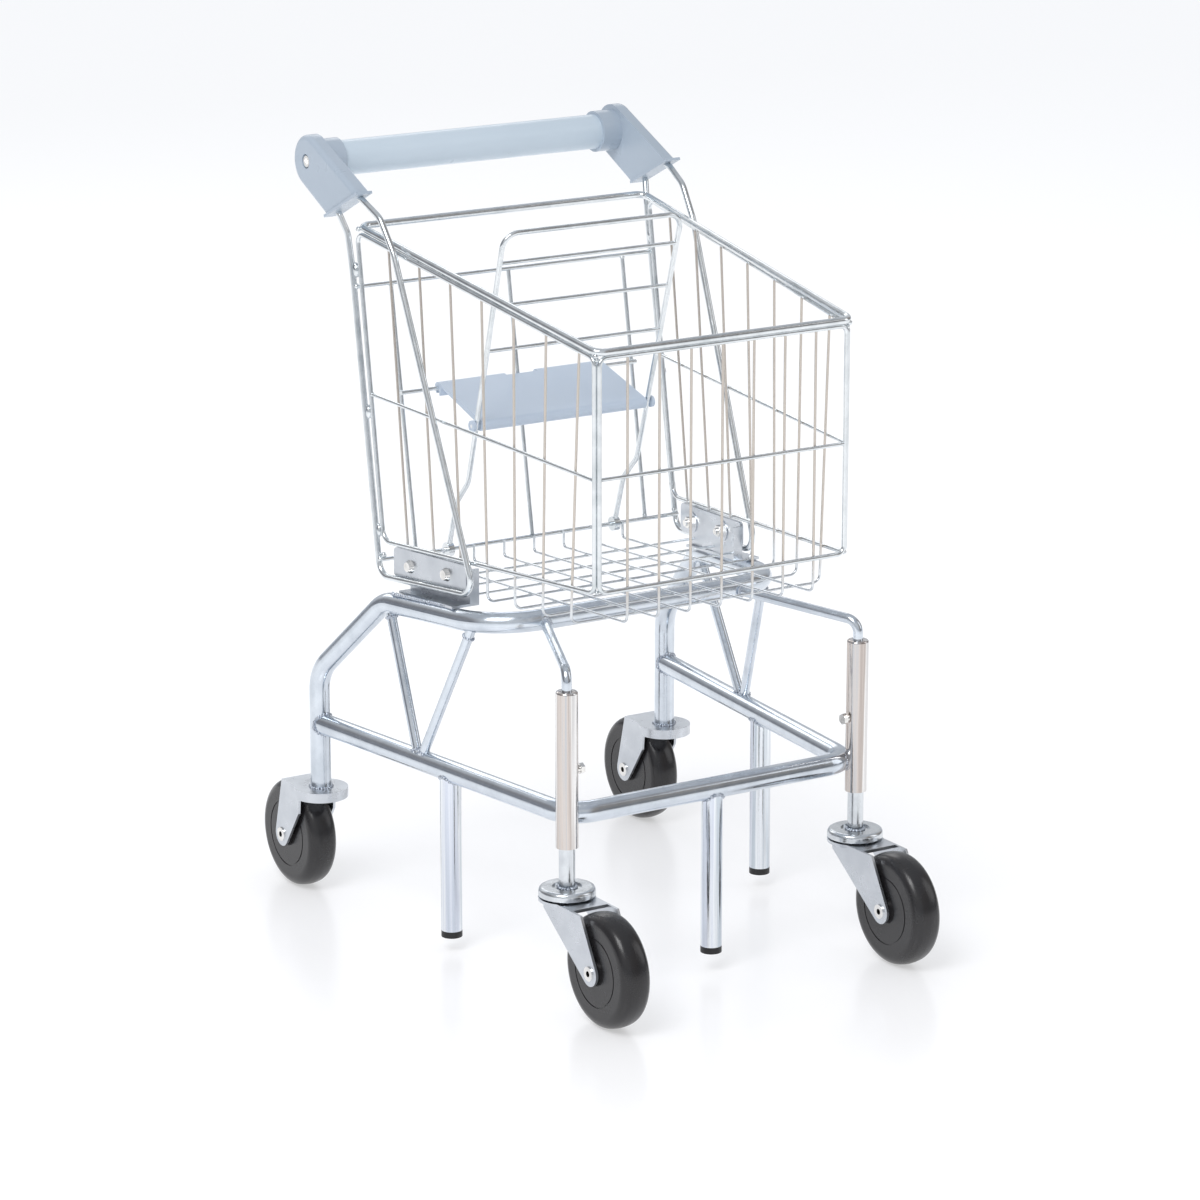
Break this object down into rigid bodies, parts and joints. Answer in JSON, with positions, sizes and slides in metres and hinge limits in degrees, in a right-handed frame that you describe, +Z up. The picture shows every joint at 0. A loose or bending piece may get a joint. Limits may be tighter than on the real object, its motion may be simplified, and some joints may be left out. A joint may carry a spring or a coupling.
{
  "type": "toy shopping cart",
  "caption": "Toy-size wire shopping cart: tapered basket, folding doll seat, plastic-capped handle, tubular base with anti-tip legs, swivel front casters, fixed rear wheels.",
  "frame": {"origin": "floor point under the centre of the whole cart's outline", "axes": "+Z up, -Y towards the front of the cart, +Y towards the handle, X across the cart"},
  "size_m": [0.3592, 0.4862, 0.59],
  "materials": {
    "zinc_steel": "bright zinc plated tube",
    "plated_wire": "bright zinc plated wire",
    "grey_plastic": "semi-gloss light blue-grey",
    "seat_plastic": "semi-gloss light blue-grey",
    "wheel_plastic": "semi-gloss black",
    "black_plastic": "matt black",
    "core_wood": "unfinished",
    "bright_screws": "nickel bright"
  },
  "bodies": {
    "cart": {"base_upper_tube": "zinc_steel", "base_lower_ring": "zinc_steel", "set_screws": "bright_screws", "braces": "zinc_steel", "anti_tip_leg_centre": "zinc_steel", "foot_caps": "black_plastic", "race_balls": "zinc_steel", "basket_rim": "plated_wire", "basket_front_frame": "plated_wire", "basket_mid_rails": "plated_wire", "basket_side_wires": "plated_wire", "basket_cross_wires": "plated_wire", "basket_front_wires": "plated_wire", "basket_floor_wires": "plated_wire", "rear_cross_wires": "plated_wire", "gate_wires": "plated_wire", "bracket_bolts": "bright_screws", "bracket_nuts": "bright_screws", "handle_grip": "grey_plastic", "handle_core": "core_wood", "cap_screws": "bright_screws", "front_sleeve_left": "zinc_steel", "front_sleeve_right": "zinc_steel", "stay_rod_left": "zinc_steel", "stay_rod_right": "zinc_steel", "anti_tip_leg_left": "zinc_steel", "anti_tip_leg_right": "zinc_steel", "front_caster_stem_left": "zinc_steel", "front_caster_stem_right": "zinc_steel", "rear_fork_left": "zinc_steel", "rear_fork_right": "zinc_steel", "rear_axle_left": "zinc_steel", "rear_axle_right": "zinc_steel", "basket_side_frame_left": "plated_wire", "basket_side_frame_right": "plated_wire", "handle_loop_left": "plated_wire", "handle_loop_right": "plated_wire", "clamp_plate_left": "zinc_steel", "clamp_plate_right": "zinc_steel", "inner_bracket_left": "zinc_steel", "inner_bracket_right": "zinc_steel", "handle_cap_left": "grey_plastic", "handle_cap_right": "grey_plastic"},
    "swivel_left": {"front_fork_left": "zinc_steel", "front_axle_left": "zinc_steel"},
    "front_roll_left": {"front_wheel_left": "wheel_plastic", "front_bush_left": "zinc_steel"},
    "rear_roll_left": {"rear_wheel_left": "wheel_plastic", "rear_bush_left": "zinc_steel"},
    "swivel_right": {"front_fork_right": "zinc_steel", "front_axle_right": "zinc_steel"},
    "front_roll_right": {"front_wheel_right": "wheel_plastic", "front_bush_right": "zinc_steel"},
    "rear_roll_right": {"rear_wheel_right": "wheel_plastic", "rear_bush_right": "zinc_steel"},
    "seat_back": {"seat_frame": "plated_wire", "seat_bars": "plated_wire", "seat_bar_tips": "seat_plastic"},
    "seat_shelf": {"seat_plate": "seat_plastic"}
  },
  "joints": [
    {"name": "front_swivel_left", "type": "hinge", "parent": "cart", "child": "swivel_left", "pos_m": [-0.1276, -0.145, 0.083], "axis": [0, 0, 1], "continuous": true},
    {"name": "front_wheel_spin_left", "type": "hinge", "parent": "swivel_left", "child": "front_roll_left", "pos_m": [-0.1276, -0.2006, 0.0425], "axis": [1, 0, 0], "continuous": true},
    {"name": "rear_wheel_spin_left", "type": "hinge", "parent": "cart", "child": "rear_roll_left", "pos_m": [-0.1586, 0.2006, 0.0425], "axis": [1, 0, 0], "continuous": true},
    {"name": "front_swivel_right", "type": "hinge", "parent": "cart", "child": "swivel_right", "pos_m": [0.1276, -0.145, 0.083], "axis": [0, 0, 1], "continuous": true},
    {"name": "front_wheel_spin_right", "type": "hinge", "parent": "swivel_right", "child": "front_roll_right", "pos_m": [0.1276, -0.2006, 0.0425], "axis": [1, 0, 0], "continuous": true},
    {"name": "rear_wheel_spin_right", "type": "hinge", "parent": "cart", "child": "rear_roll_right", "pos_m": [0.1586, 0.2006, 0.0425], "axis": [1, 0, 0], "continuous": true},
    {"name": "seat_fold", "type": "hinge", "parent": "cart", "child": "seat_back", "pos_m": [0, 0.1096, 0.2784], "axis": [-1, 0, 0], "range_deg": [0, 18]},
    {"name": "seat_flap", "type": "hinge", "parent": "seat_back", "child": "seat_shelf", "pos_m": [0, 0.06482, 0.384], "axis": [1, 0, 0], "range_deg": [0, 84]}
  ],
  "couplings": [
    {"joint": "seat_flap", "follows": "seat_fold", "ratio": 4.65}
  ]
}
